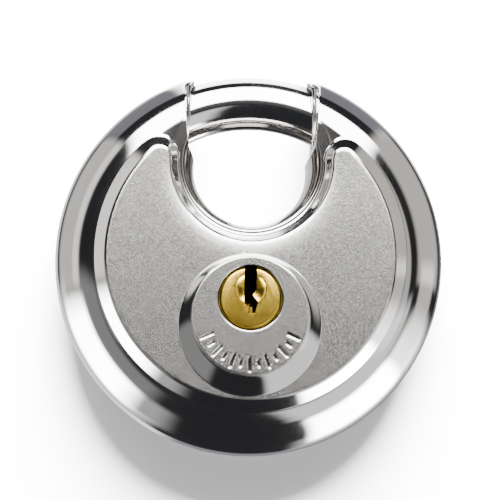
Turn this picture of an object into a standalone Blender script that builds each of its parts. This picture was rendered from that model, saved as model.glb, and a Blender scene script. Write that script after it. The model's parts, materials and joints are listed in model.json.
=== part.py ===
"""Disc padlock: a round stainless lock lying on its back.

Frame: the origin is on the back plateau at the disc's axis, +Z points out of the front face and +Y points from the
disc's axis to the shackle. The lengths below are in millimetres; meshes are made in metres.
"""
import math

import bmesh
import bpy
from mathutils import Matrix, Vector

MM = 0.001
CLEARANCE = 0.3

# Body shells
BODY_RADIUS = 35.0
MID_Z = 12.8                 # the seam between the two shells
SHELL_HALF_HEIGHT = 11.6     # seam to the base ring of either face
WALL = 0.9
SEAM_GAP = 0.3
RIM_WIDTH = 8.0              # radial half-axis of the elliptical rim
RIM_EDGE_HEIGHT = 0.5        # upright strip at the seam
PLATEAU_HALF_HEIGHT = 12.8   # seam to the crescent plateau of either face
PLATEAU_RADIUS = 25.3
PLATEAU_TIP_RADIUS = 1.4
EYE_BORDER_RADIUS = 14.5     # crescent's inner border, round the eye
EYE_Y = 17.3
EYE_RADIUS = 11.0
EYE_FLARE = 2.5
BOSS_BASE = (-11.7, 12.5, 12.8)   # centre y, radius, height above the seam
BOSS_TOP = (-10.3, 10.5, 13.8)
PLUG_HOLE_RADIUS = 5.7

# Shackle and its collars
SHACKLE_ARC_RADIUS = 29.0
ROD_RADIUS = 4.75
COLLAR_RADIUS = 5.95
COLLAR_OUTER_REACH = 161.2   # degrees from the bottom of the disc to a collar's end, along the outer edge
COLLAR_EYE_REACH = 101.3     # the same round the eye
COLLAR_MOUTH_FLARE = 1.24    # the eye's wall leaves its circle by this much at a collar's mouth
MOUTH_FLARE_START = 0.8      # share of the way to the mouth where it starts to leave
COLLAR_BLEND = 1.6           # arc length over which a collar grows into the full body
SHACKLE_TIP_ANGLE = 125.0
SHACKLE_TAIL_ANGLE = -42.0
TAIL_FLAT_ANGLE = -28.0
TAIL_FLAT_Z = 11.2
NOSE_ROUNDING = 1.2
CUT_REACH = 9.0              # how far the tail's cutter reaches either side of the arc

# Carrier and pinion: an internal gear sector round the disc's axis and a pinion on the plug's tail
GEAR_MODULE = 1.0
SECTOR_TEETH = 26            # on a full ring
SECTOR_TOOTH_COUNT = 7       # spaces that are cut
PINION_TEETH = 12
PRESSURE_ANGLE = math.radians(20.0)
BACKLASH = 0.3
PINION_TIP_RADIUS = 6.85
PINION_ROOT_RADIUS = 4.6
SECTOR_TIP_RADIUS = 12.5
SECTOR_ROOT_RADIUS = 14.3
SECTOR_OUTER_RADIUS = 17.0
SECTOR_START = 255.0
SECTOR_END = 345.0
SECTOR_HEEL = 6.0            # degrees that the plate runs on past its first tooth space
CARRIER_Z = (2.8, 5.4)
CARRIER_ARM_RADIUS = 28.4
LUG_RADII = (25.6, 30.2)
LUG_Z = (4.0, 10.9)
DOWEL_RADIUS = 1.2
DOWEL_HOLE_RADIUS = 1.35
DOWEL_CENTRE_RADIUS = 27.2
DOWEL_ANGLES = (-38.0, -32.0)
DOWEL_Z = (3.0, 14.6)

# Plug
PLUG_Y = -7.0
PLUG_RADIUS = 6.0
PLUG_NOSE_RADIUS = 5.4
PLUG_NOSE_CHAMFER = 0.4
PLUG_Z = (5.8, 25.2)
PLUG_FACE_Z = 26.2
PLUG_TAIL_WIDTH = 3.3
PLUG_TAIL_Z = 1.2
CLIP_GROOVE_Z = (1.45, 2.45)
CLIP_GROOVE_RADIUS = 1.4
CLIP_Z = (1.65, 2.25)
CLIP_RADII = (1.6, 3.6)
PINION_Z = (2.8, 5.5)
KEYWAY_FLOOR_Z = 7.2
KEYWAY_DISH = (1.55, 2.86, 1.1)   # centre above the plug's axis, radius and depth of the dish round the keyway

# Casting that holds the plug and the pins
CASTING_Z = (5.8, 23.2)
CASTING_RADIUS = 23.6
CASTING_EYE_RADIUS = 12.9
CASTING_TOP_Y = 13.0
CASTING_FLAT_Y = -22.4
PLUG_BORE_RADIUS = 6.15
LEDGE_Z = (5.8, 7.75)
LEDGE_RADII = (22.5, 31.0)
LEDGE_SPANS = ((-20.0, 48.0), (132.0, 250.0))
COVER_Y = (-23.4, -22.7)
COVER_HALF_WIDTH = 2.4
COVER_Z = (6.4, 22.8)

# Pins
CHAMBER_Z = (8.6, 11.7, 14.8, 17.9, 21.0)
CHAMBER_RADIUS = 1.45
PIN_RADIUS = 1.25
KEY_PIN_END_Y = -12.8
KEY_PIN_LENGTHS = (4.6, 3.4, 5.0, 4.0, 5.2)
DRIVER_Y = (-17.2, -13.2)
PIN_HOLE_TOP_Y = -6.0
SPRING_Y = (-22.3, -17.5)
SPRING_RADIUS = 1.0
SPRING_WIRE_RADIUS = 0.16
SPRING_TURNS = 5
PIN_CHAMFER = 0.2

SHELL_LINES = 44
RIM_STEPS, FLARE_STEPS = 5, 4
TIP_STEPS = 6
ROD_STEPS, ROD_SIDES = 44, 24
ROUND = 48
SMALL_ROUND = 16


# ---------------------------------------------------------------- materials

def material(name, colour, roughness, metallic=1.0):
    made = bpy.data.materials.new(name)
    made.use_nodes = True
    shader = made.node_tree.nodes["Principled BSDF"]
    shader.inputs["Base Color"].default_value = (*colour, 1.0)
    shader.inputs["Roughness"].default_value = roughness
    shader.inputs["Metallic"].default_value = metallic
    return made


# ---------------------------------------------------------------- shape helpers

def polar(radius, degrees, centre=(0.0, 0.0)):
    angle = math.radians(degrees)
    return (centre[0] + radius * math.cos(angle), centre[1] + radius * math.sin(angle))


def arc(centre, radius, start, end, steps):
    """Points from start towards end, without the last one, so that arcs can follow each other."""
    return [polar(radius, start + (end - start) * i / steps, centre) for i in range(steps)]


def add_object(name, bm, surface, origin=(0.0, 0.0, 0.0)):
    """Make an object from a bmesh in millimetres, with its own origin at the given place."""
    bmesh.ops.recalc_face_normals(bm, faces=bm.faces)
    bmesh.ops.translate(bm, verts=bm.verts, vec=-Vector(origin))
    bmesh.ops.scale(bm, verts=bm.verts, vec=(MM, MM, MM))
    mesh = bpy.data.meshes.new(name)
    bm.to_mesh(mesh)
    bm.free()
    mesh.shade_smooth()
    mesh.set_sharp_from_angle(angle=math.radians(30.0))
    made = bpy.data.objects.new(name, mesh)
    made.location = Vector(origin) * MM
    bpy.context.scene.collection.objects.link(made)
    if surface is not None:
        mesh.materials.append(surface)
    return made


def combine(target, tool, operation):
    modifier = target.modifiers.new(tool.name, "BOOLEAN")
    modifier.operation = operation
    modifier.object = tool
    modifier.solver = "EXACT"
    tool.hide_render = True
    tool.display_type = "WIRE"


def rings_solid(bm, rings):
    """Skin rings of equal length and close both ends."""
    loops = [[bm.verts.new(point) for point in ring] for ring in rings]
    for lower, upper in zip(loops, loops[1:]):
        for i, vertex in enumerate(lower):
            j = (i + 1) % len(lower)
            bm.faces.new((vertex, lower[j], upper[j], upper[i]))
    bm.faces.new(list(reversed(loops[0])))
    bm.faces.new(loops[-1])


def prism(outline, low, high):
    bm = bmesh.new()
    rings_solid(bm, [[(x, y, z) for x, y in outline] for z in (low, high)])
    return bm


def circle(centre, radius, steps=ROUND):
    return arc(centre, radius, 0.0, 360.0, steps)


def turned(profile, centre, steps=ROUND):
    """A solid turned about a vertical axis; the profile lists (radius, z) upwards."""
    bm = bmesh.new()
    rings_solid(bm, [[(x, y, z) for x, y in circle(centre, radius, steps)] for radius, z in profile])
    return bm


def ring_sector(inner, outer, start, end, low, high, steps):
    outline = arc((0, 0), outer, start, end, steps) + [polar(outer, end)]
    outline += arc((0, 0), inner, end, start, steps) + [polar(inner, start)]
    return prism(outline, low, high)


def rods_along_y(radius, low_y, high_y, heights, steps):
    """Round rods along Y in the plane x = 0, one at each height."""
    bm = bmesh.new()
    for height in heights:
        place = Matrix.Translation((0.0, (low_y + high_y) / 2, height)) @ Matrix.Rotation(math.pi / 2, 4, "X")
        bmesh.ops.create_cone(bm, cap_ends=True, segments=steps, radius1=radius, radius2=radius,
                              depth=high_y - low_y, matrix=place)
    return bm


# ---------------------------------------------------------------- the shells

def smoothstep(t):
    t = min(max(t, 0.0), 1.0)
    return t * t * (3.0 - 2.0 * t)


def collar_height(x, y, inset):
    """Half height of the tube round the shackle's arc."""
    off = math.hypot(x, y) - SHACKLE_ARC_RADIUS
    return math.sqrt(max(0.0, (COLLAR_RADIUS - inset) ** 2 - off ** 2))


def body_height(x, y, inset):
    """Half height of the disc: flat, with an elliptical rim and a flared edge round the eye."""
    top = SHELL_HALF_HEIGHT - inset
    outward = math.hypot(x, y) - (BODY_RADIUS - RIM_WIDTH)
    rim = top * math.sqrt(max(0.0, 1.0 - (max(0.0, outward) / (RIM_WIDTH - inset)) ** 2))
    flare = EYE_FLARE - inset
    short = min(max(EYE_RADIUS + EYE_FLARE - math.hypot(x, y - EYE_Y), 0.0), flare)
    return min(rim, top - flare + math.sqrt(flare ** 2 - short ** 2))


def line_points(start, end, rim_width, flare_width):
    """Points from the outer edge to the eye, close together on the rim and on the flare."""
    length = (end - start).length
    rim = [rim_width * (1.0 - math.cos(math.pi / 2 * i / RIM_STEPS)) for i in range(RIM_STEPS + 1)]
    flare = [length - flare_width * (1.0 - math.cos(math.pi / 2 * i / FLARE_STEPS))
             for i in range(FLARE_STEPS, -1, -1)]
    middle = (rim[-1] + flare[0]) / 2
    return [start.lerp(end, distance / length) for distance in rim[:-1] + [middle] + flare[1:]]


def line_ends(u, inset):
    """The ends of a line, on the outer edge and on the eye; u runs from -1 to 1 between the collars' mouths."""
    flare = COLLAR_MOUTH_FLARE * smoothstep((abs(u) - MOUTH_FLARE_START) / (1.0 - MOUTH_FLARE_START))
    outer = polar(BODY_RADIUS - inset, u * COLLAR_OUTER_REACH - 90.0)
    inner = polar(EYE_RADIUS + inset + flare, u * COLLAR_EYE_REACH - 90.0, (0.0, EYE_Y))
    return Vector(outer), Vector(inner)


def turn_from_top(outer, inner):
    """The angle of a line's middle from +Y, about the disc's axis."""
    middle = (outer + inner) / 2
    return math.atan2(abs(middle.x), middle.y)


def shell_lines(inset, overrun):
    """The shell's surface as lines from the outer edge to the eye; overrun adds a line past each collar's end."""
    lines = []
    mouth_turn = turn_from_top(*line_ends(1.0, 0.0))
    for i in range(SHELL_LINES + 1):
        t = 2.0 * i / SHELL_LINES - 1.0
        u = 0.5 * t + 0.5 * math.sin(math.pi / 2 * t)
        outer, inner = line_ends(u, inset)
        from_mouth = SHACKLE_ARC_RADIUS * (turn_from_top(outer, inner) - mouth_turn)
        blend = smoothstep((from_mouth - inset) / COLLAR_BLEND)
        span = (outer - inner).length / 2
        rim_width = span + (RIM_WIDTH - span) * blend
        flare_width = span + (EYE_FLARE - span) * blend
        line = []
        for point in line_points(outer, inner, rim_width, flare_width):
            tube = collar_height(point.x, point.y, inset)
            height = tube + (body_height(point.x, point.y, inset) - tube) * blend
            line.append((point.x, point.y, max(height, RIM_EDGE_HEIGHT)))
        lines.append(line)
    if overrun:
        for side, place in ((-1.0, 0), (1.0, len(lines))):
            x = side * overrun
            ends = [Vector((x, math.sqrt(radius ** 2 - x ** 2)))
                    for radius in (SHACKLE_ARC_RADIUS + COLLAR_RADIUS - inset,
                                   SHACKLE_ARC_RADIUS - COLLAR_RADIUS + inset)]
            span = (ends[0] - ends[1]).length / 2
            line = [(p.x, p.y, max(collar_height(p.x, p.y, inset), RIM_EDGE_HEIGHT))
                    for p in line_points(ends[0], ends[1], span, span)]
            lines.insert(place if side < 0 else len(lines), line)
    return lines


def half_lens(side, inset, base, overrun=0.0):
    """One half of the disc as a solid: side is +1 for the front and -1 for the back, base its height at the seam."""
    bm = bmesh.new()
    grid = [[bm.verts.new((x, y, MID_Z + side * height)) for x, y, height in line]
            for line in shell_lines(inset, overrun)]
    for this, after in zip(grid, grid[1:]):
        for k in range(len(this) - 1):
            bm.faces.new((this[k], this[k + 1], after[k + 1], after[k]))
    edge = [line[0] for line in grid] + grid[-1][1:-1]
    edge += [line[-1] for line in reversed(grid)] + list(reversed(grid[0][1:-1]))
    foot = [bm.verts.new((vertex.co.x, vertex.co.y, MID_Z + side * base)) for vertex in edge]
    for i, vertex in enumerate(edge):
        j = (i + 1) % len(edge)
        bm.faces.new((vertex, edge[j], foot[j], foot[i]))
    bm.faces.new(foot)
    return bm


def crescent_outline(inset):
    """The plateau's outline: two arcs, round the disc's axis and round the eye, joined by rounded tips."""
    outer = PLATEAU_RADIUS - inset
    inner = EYE_BORDER_RADIUS + inset
    tip = PLATEAU_TIP_RADIUS - inset
    reach, off = outer - tip, inner + tip
    tip_y = (reach ** 2 - off ** 2 + EYE_Y ** 2) / (2 * EYE_Y)
    tip_x = math.sqrt(reach ** 2 - tip_y ** 2)
    out_angle = math.degrees(math.atan2(tip_y, tip_x))
    eye_angle = math.degrees(math.atan2(tip_y - EYE_Y, tip_x))
    outline = arc((0, 0), outer, out_angle, -180.0 - out_angle, 40)
    outline += arc((-tip_x, tip_y), tip, 180.0 - out_angle, -eye_angle, TIP_STEPS)
    outline += arc((0, EYE_Y), inner, 180.0 - eye_angle, 360.0 + eye_angle, 26)
    outline += arc((tip_x, tip_y), tip, 180.0 + eye_angle, out_angle, TIP_STEPS)
    return outline


def boss(inset, foot):
    """The round boss, a cone whose top circle stands off centre from its base circle."""
    bm = bmesh.new()
    levels = ((BOSS_BASE[0], BOSS_BASE[1] - inset, foot),
              (BOSS_BASE[0], BOSS_BASE[1] - inset, BOSS_BASE[2] - inset),
              (BOSS_TOP[0], BOSS_TOP[1] - inset, BOSS_TOP[2] - inset))
    rings_solid(bm, [[(x, y, MID_Z + height) for x, y in circle((0.0, y0), radius)] for y0, radius, height in levels])
    return bm


def make_shell(name, side, surface):
    shell = add_object(name, half_lens(side, 0.0, SEAM_GAP / 2), surface)
    plateau = [MID_Z + side * height for height in (SHELL_HALF_HEIGHT - 2.0, PLATEAU_HALF_HEIGHT)]
    hollow = [MID_Z + side * height for height in (SHELL_HALF_HEIGHT - 3.0, PLATEAU_HALF_HEIGHT - WALL)]
    combine(shell, add_object(name + "_plateau", prism(crescent_outline(0.0), *plateau), None), "UNION")
    if side > 0:
        combine(shell, add_object(name + "_boss", boss(0.0, SHELL_HALF_HEIGHT - 1.5), None), "UNION")
    cavity = half_lens(side, WALL, -1.0, overrun=8.0)
    combine(shell, add_object(name + "_cavity", cavity, None), "DIFFERENCE")
    combine(shell, add_object(name + "_hollow", prism(crescent_outline(WALL), *hollow), None), "DIFFERENCE")
    if side > 0:
        combine(shell, add_object(name + "_boss_hollow", boss(WALL, SHELL_HALF_HEIGHT - 3.5), None), "DIFFERENCE")
        hole = turned([(PLUG_HOLE_RADIUS, MID_Z + 8.0), (PLUG_HOLE_RADIUS, MID_Z + 16.0)], (0.0, PLUG_Y))
        combine(shell, add_object(name + "_plug_hole", hole, None), "DIFFERENCE")
    return shell


# ---------------------------------------------------------------- the shackle

def make_shackle(surface):
    """A round rod along the arc, with a rounded nose and a flat milled on the rear of its tail."""
    sweep = SHACKLE_TIP_ANGLE - SHACKLE_TAIL_ANGLE
    stations = [(SHACKLE_TAIL_ANGLE + sweep * i / ROD_STEPS, ROD_RADIUS) for i in range(ROD_STEPS)]
    nose_length = math.degrees(NOSE_ROUNDING / SHACKLE_ARC_RADIUS)
    nose = [(SHACKLE_TIP_ANGLE - nose_length * (1 - math.sin(t)), ROD_RADIUS - NOSE_ROUNDING * (1 - math.cos(t)))
            for t in (0.0, math.pi / 6, math.pi / 3, math.pi / 2)]
    rings = []
    for angle, radius in stations + nose:
        ring = []
        for k in range(ROD_SIDES):
            turn = 2 * math.pi * k / ROD_SIDES
            x, y = polar(SHACKLE_ARC_RADIUS + radius * math.cos(turn), angle)
            ring.append((x, y, MID_Z + radius * math.sin(turn)))
        rings.append(ring)
    bm = bmesh.new()
    rings_solid(bm, rings)
    shackle = add_object("shackle", bm, surface)
    flat = ring_sector(SHACKLE_ARC_RADIUS - CUT_REACH, SHACKLE_ARC_RADIUS + CUT_REACH, SHACKLE_TAIL_ANGLE - 6.0,
                       TAIL_FLAT_ANGLE, MID_Z - 8.0, TAIL_FLAT_Z, 6)
    combine(shackle, add_object("shackle_tail_flat", flat, None), "DIFFERENCE")
    for i, angle in enumerate(DOWEL_ANGLES):
        x, y = polar(DOWEL_CENTRE_RADIUS, angle)
        hole = turned([(DOWEL_HOLE_RADIUS, 2.0), (DOWEL_HOLE_RADIUS, DOWEL_Z[1] + CLEARANCE)], (x, y), SMALL_ROUND)
        combine(shackle, add_object(f"shackle_dowel_hole_{i + 1}", hole, None), "DIFFERENCE")
    return shackle


# ---------------------------------------------------------------- gear, carrier and pinion

def involute(angle):
    return math.tan(angle) - angle


def half_tooth_angle(radius, teeth, widening):
    """Half the angle of an involute tooth at a radius, in radians; the flank is radial below the base circle."""
    pitch = GEAR_MODULE * teeth / 2
    base = pitch * math.cos(PRESSURE_ANGLE)
    local = math.acos(base / max(radius, base))
    return math.pi / (2 * teeth) + widening / (2 * pitch) + involute(PRESSURE_ANGLE) - involute(local)


def tooth_row(teeth, count, first, root, tip, widening):
    """The outline of a row of teeth, from root to tip and back, about the origin."""
    outline = []
    radii = [root + (tip - root) * i / 4 for i in range(5)]
    for k in range(count):
        middle = first + 360.0 * k / teeth
        flank = [(radius, math.degrees(half_tooth_angle(radius, teeth, widening))) for radius in radii]
        outline += [polar(radius, middle - half) for radius, half in flank]
        outline += [polar(radius, middle + half) for radius, half in reversed(flank)]
    return outline


def make_pinion(surface):
    row = tooth_row(PINION_TEETH, PINION_TEETH, 270.0, PINION_ROOT_RADIUS, PINION_TIP_RADIUS, -BACKLASH)
    outline = [(x, y + PLUG_Y) for x, y in row]
    pinion = add_object("plug_pinion", prism(outline, *PINION_Z), surface, (0.0, PLUG_Y, PINION_Z[0]))
    half = PLUG_TAIL_WIDTH / 2 + 0.15
    square = [(-half, PLUG_Y - half), (half, PLUG_Y - half), (half, PLUG_Y + half), (-half, PLUG_Y + half)]
    combine(pinion, add_object("pinion_square", prism(square, 1.0, 7.0), None), "DIFFERENCE")
    return pinion


def make_carrier(surface):
    """A plate with an internal gear sector, an arm and a lug that stands under the shackle's tail."""
    spaces = tooth_row(SECTOR_TEETH, SECTOR_TOOTH_COUNT, 270.0 - 360.0 / SECTOR_TEETH, SECTOR_TIP_RADIUS,
                       SECTOR_ROOT_RADIUS, 0.0)
    outline = arc((0, 0), SECTOR_OUTER_RADIUS, SECTOR_END, SECTOR_START - SECTOR_HEEL, SMALL_ROUND)
    outline += [polar(SECTOR_OUTER_RADIUS, SECTOR_START - SECTOR_HEEL),
                polar(SECTOR_TIP_RADIUS, SECTOR_START - SECTOR_HEEL)]
    outline += spaces
    outline += [polar(SECTOR_TIP_RADIUS, SECTOR_END)]
    carrier = add_object("shackle_carrier", prism(outline, *CARRIER_Z), surface)
    arm = ring_sector(SECTOR_OUTER_RADIUS - 1.0, CARRIER_ARM_RADIUS, SHACKLE_TAIL_ANGLE, TAIL_FLAT_ANGLE - 0.6,
                      CARRIER_Z[0], CARRIER_Z[1], 6)
    combine(carrier, add_object("carrier_arm", arm, None), "UNION")
    lug = ring_sector(LUG_RADII[0], LUG_RADII[1], SHACKLE_TAIL_ANGLE + 0.3, TAIL_FLAT_ANGLE - 0.9,
                      LUG_Z[0], LUG_Z[1], 6)
    combine(carrier, add_object("carrier_lug", lug, None), "UNION")
    for i, angle in enumerate(DOWEL_ANGLES):
        centre = polar(DOWEL_CENTRE_RADIUS, angle)
        hole = turned([(DOWEL_HOLE_RADIUS, 2.0), (DOWEL_HOLE_RADIUS, 12.0)], centre, SMALL_ROUND)
        combine(carrier, add_object(f"carrier_dowel_hole_{i + 1}", hole, None), "DIFFERENCE")
    return carrier


def make_dowels(surface):
    for i, angle in enumerate(DOWEL_ANGLES):
        x, y = polar(DOWEL_CENTRE_RADIUS, angle)
        low, high = DOWEL_Z
        profile = [(DOWEL_RADIUS - PIN_CHAMFER, low), (DOWEL_RADIUS, low + PIN_CHAMFER),
                   (DOWEL_RADIUS, high - PIN_CHAMFER), (DOWEL_RADIUS - PIN_CHAMFER, high)]
        add_object(f"carrier_dowel_{i + 1}", turned(profile, (x, y), SMALL_ROUND), surface, (x, y, low))


# ---------------------------------------------------------------- plug and clip

def keyway_outline():
    """The keyway across the plug's face, open at its top edge, with the two steps of a warded profile."""
    right = [(1.1, 7.0), (1.1, 1.5), (0.37, 0.56), (1.37, -0.6), (0.82, -2.65)]
    left = [(-0.5, -2.65), (-0.25, -1.3), (-1.1, -0.8), (-1.1, 7.0)]
    return [(x, y + PLUG_Y) for x, y in right + left]


def make_plug(surface):
    centre = (0.0, PLUG_Y)
    profile = [(PLUG_RADIUS - 0.3, PLUG_Z[0]), (PLUG_RADIUS, PLUG_Z[0] + 0.3), (PLUG_RADIUS, PLUG_Z[1]),
               (PLUG_NOSE_RADIUS, PLUG_Z[1]), (PLUG_NOSE_RADIUS, PLUG_FACE_Z - PLUG_NOSE_CHAMFER),
               (PLUG_NOSE_RADIUS - PLUG_NOSE_CHAMFER, PLUG_FACE_Z)]
    plug = add_object("plug", turned(profile, centre), surface, (0.0, PLUG_Y, PLUG_Z[0]))
    keyway = prism(keyway_outline(), KEYWAY_FLOOR_Z, PLUG_FACE_Z + 2.0)
    combine(plug, add_object("plug_keyway", keyway, None), "DIFFERENCE")
    dish_y, dish_radius, dish_depth = KEYWAY_DISH
    dish = turned([(dish_radius * 0.45, PLUG_FACE_Z - dish_depth), (dish_radius, PLUG_FACE_Z),
                   (dish_radius, PLUG_FACE_Z + 1.0)], (0.0, PLUG_Y + dish_y), 32)
    combine(plug, add_object("plug_dish", dish, None), "DIFFERENCE")
    holes = rods_along_y(CHAMBER_RADIUS, -14.5, PIN_HOLE_TOP_Y, CHAMBER_Z, 16)
    combine(plug, add_object("plug_pin_holes", holes, None), "DIFFERENCE")
    half = PLUG_TAIL_WIDTH / 2
    square = [(-half, PLUG_Y - half), (half, PLUG_Y - half), (half, PLUG_Y + half), (-half, PLUG_Y + half)]
    combine(plug, add_object("plug_tail", prism(square, PLUG_TAIL_Z, PLUG_Z[0] + 1.0), None), "UNION")
    groove = turned([(4.0, CLIP_GROOVE_Z[0]), (4.0, CLIP_GROOVE_Z[1])], centre, 24)
    core = add_object("plug_groove_core", turned([(CLIP_GROOVE_RADIUS, 0.5), (CLIP_GROOVE_RADIUS, 3.5)], centre, 24),
                      None)
    groove = add_object("plug_groove", groove, None)
    combine(groove, core, "DIFFERENCE")
    combine(plug, groove, "DIFFERENCE")
    return plug


def make_clip(surface):
    """An open retaining ring in the tail's groove."""
    outline = arc((0, 0), CLIP_RADII[1], 120.0, 420.0, 24) + [polar(CLIP_RADII[1], 420.0)]
    outline += arc((0, 0), CLIP_RADII[0], 420.0, 120.0, 24) + [polar(CLIP_RADII[0], 120.0)]
    moved = [(x, y + PLUG_Y) for x, y in outline]
    add_object("plug_clip", prism(moved, *CLIP_Z), surface, (0.0, PLUG_Y, CLIP_Z[0]))


# ---------------------------------------------------------------- casting, cover, pins and springs

def casting_outline():
    """A disc clipped at the top, with a round bay under the eye and a flat at the bottom."""
    top = math.degrees(math.asin(CASTING_TOP_Y / CASTING_RADIUS))
    flat = math.degrees(math.asin(-CASTING_FLAT_Y / CASTING_RADIUS))
    bay = math.degrees(math.asin((CASTING_TOP_Y - EYE_Y) / CASTING_EYE_RADIUS))
    outline = arc((0, 0), CASTING_RADIUS, top, -flat, 22) + [polar(CASTING_RADIUS, -flat)]
    outline += arc((0, 0), CASTING_RADIUS, -180.0 + flat, -180.0 - top, 22) + [polar(CASTING_RADIUS, 180.0 - top)]
    outline += arc((0, EYE_Y), CASTING_EYE_RADIUS, 180.0 - bay, 360.0 + bay, 20)
    outline += [polar(CASTING_EYE_RADIUS, bay, (0, EYE_Y))]
    return outline


def make_casting(surface):
    casting = add_object("lock_body", prism(casting_outline(), *CASTING_Z), surface)
    for i, (start, end) in enumerate(LEDGE_SPANS):
        ledge = ring_sector(LEDGE_RADII[0], LEDGE_RADII[1], start, end, LEDGE_Z[0], LEDGE_Z[1], 14)
        combine(casting, add_object(f"casting_ledge_{i + 1}", ledge, None), "UNION")
    bore = turned([(PLUG_BORE_RADIUS, 4.0), (PLUG_BORE_RADIUS, 25.0)], (0.0, PLUG_Y))
    combine(casting, add_object("casting_bore", bore, None), "DIFFERENCE")
    chambers = rods_along_y(CHAMBER_RADIUS, CASTING_FLAT_Y - 2.0, PLUG_Y - 2.0, CHAMBER_Z, 16)
    combine(casting, add_object("casting_chambers", chambers, None), "DIFFERENCE")
    return casting


def make_cover(surface):
    outline = [(-COVER_HALF_WIDTH, COVER_Y[0]), (COVER_HALF_WIDTH, COVER_Y[0]),
               (COVER_HALF_WIDTH, COVER_Y[1]), (-COVER_HALF_WIDTH, COVER_Y[1])]
    add_object("chamber_cover", prism(outline, *COVER_Z), surface)


def turned_along_y(profile, height, steps):
    """A pin turned about an axis along Y; the profile lists (radius, y)."""
    bm = bmesh.new()
    rings = []
    for radius, y in profile:
        rings.append([(radius * math.cos(2 * math.pi * k / steps), y,
                       height + radius * math.sin(2 * math.pi * k / steps)) for k in range(steps)])
    rings_solid(bm, rings)
    return bm


def make_pins(key_surface, driver_surface):
    for i, (height, length) in enumerate(zip(CHAMBER_Z, KEY_PIN_LENGTHS)):
        end = KEY_PIN_END_Y
        key_profile = [(PIN_RADIUS - PIN_CHAMFER, end), (PIN_RADIUS, end + PIN_CHAMFER),
                       (PIN_RADIUS, end + length - 0.8), (0.4, end + length)]
        add_object(f"key_pin_{i + 1}", turned_along_y(key_profile, height, SMALL_ROUND), key_surface, (0.0, end, height))
        low, high = DRIVER_Y
        driver_profile = [(PIN_RADIUS - PIN_CHAMFER, low), (PIN_RADIUS, low + PIN_CHAMFER),
                          (PIN_RADIUS, high - PIN_CHAMFER), (PIN_RADIUS - PIN_CHAMFER, high)]
        add_object(f"driver_pin_{i + 1}", turned_along_y(driver_profile, height, SMALL_ROUND), driver_surface,
                   (0.0, high, height))


def make_springs(surface):
    """Coil springs between the driver pins and the cover."""
    per_turn, sides = 9, 5
    low, high = SPRING_Y
    for i, height in enumerate(CHAMBER_Z):
        rings = []
        steps = SPRING_TURNS * per_turn
        for k in range(steps + 1):
            turn = 2 * math.pi * k / per_turn
            y = low + SPRING_WIRE_RADIUS + (high - low - 2 * SPRING_WIRE_RADIUS) * k / steps
            ring = []
            for s in range(sides):
                around = 2 * math.pi * s / sides
                radius = SPRING_RADIUS + SPRING_WIRE_RADIUS * math.cos(around)
                ring.append((radius * math.cos(turn), y + SPRING_WIRE_RADIUS * math.sin(around),
                             height + radius * math.sin(turn)))
            rings.append(ring)
        bm = bmesh.new()
        rings_solid(bm, rings)
        add_object(f"pin_spring_{i + 1}", bm, surface, (0.0, low, height))


def main():
    for existing in list(bpy.data.objects):
        bpy.data.objects.remove(existing, do_unlink=True)
    stainless = material("polished_stainless", (0.62, 0.61, 0.60), 0.12)
    shackle_steel = material("shackle_steel", (0.68, 0.68, 0.68), 0.08)
    brass = material("plug_brass", (0.78, 0.55, 0.20), 0.22)
    zinc = material("zinc_casting", (0.45, 0.46, 0.48), 0.45)
    steel = material("hardened_steel", (0.35, 0.35, 0.37), 0.35)
    spring_steel = material("spring_steel", (0.5, 0.5, 0.52), 0.25)
    make_shell("front_shell", 1.0, stainless)
    make_shell("back_shell", -1.0, stainless)
    make_shackle(shackle_steel)
    make_casting(zinc)
    make_cover(steel)
    make_carrier(steel)
    make_dowels(steel)
    make_pinion(steel)
    make_plug(brass)
    make_clip(spring_steel)
    make_pins(brass, steel)
    make_springs(spring_steel)


main()
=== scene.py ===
"""Looks of the disc padlock: fine shells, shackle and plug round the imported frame, materials and studio."""
import json
import math

import bmesh
import bpy
import numpy as np
from mathutils import Matrix, Vector
from mathutils.geometry import delaunay_2d_cdt


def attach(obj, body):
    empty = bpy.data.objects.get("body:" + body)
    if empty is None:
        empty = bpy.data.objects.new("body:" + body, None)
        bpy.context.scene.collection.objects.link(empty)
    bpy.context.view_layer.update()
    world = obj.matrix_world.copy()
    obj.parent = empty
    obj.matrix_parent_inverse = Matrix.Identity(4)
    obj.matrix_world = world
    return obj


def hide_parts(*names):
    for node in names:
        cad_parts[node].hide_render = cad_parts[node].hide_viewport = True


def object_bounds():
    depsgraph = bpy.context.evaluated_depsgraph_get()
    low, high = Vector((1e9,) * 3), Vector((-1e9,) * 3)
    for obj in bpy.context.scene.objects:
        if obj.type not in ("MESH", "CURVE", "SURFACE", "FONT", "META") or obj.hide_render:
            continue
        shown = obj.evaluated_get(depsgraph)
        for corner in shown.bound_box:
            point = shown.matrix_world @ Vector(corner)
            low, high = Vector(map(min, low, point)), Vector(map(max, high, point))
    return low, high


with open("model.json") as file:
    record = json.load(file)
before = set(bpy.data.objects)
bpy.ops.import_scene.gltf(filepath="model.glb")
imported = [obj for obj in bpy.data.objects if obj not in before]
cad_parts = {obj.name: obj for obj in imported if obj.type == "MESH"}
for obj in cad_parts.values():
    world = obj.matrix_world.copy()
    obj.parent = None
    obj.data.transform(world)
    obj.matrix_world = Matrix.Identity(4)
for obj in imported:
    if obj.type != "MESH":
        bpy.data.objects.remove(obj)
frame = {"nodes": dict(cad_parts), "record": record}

CAD_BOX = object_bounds()
MM = 0.001

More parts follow.
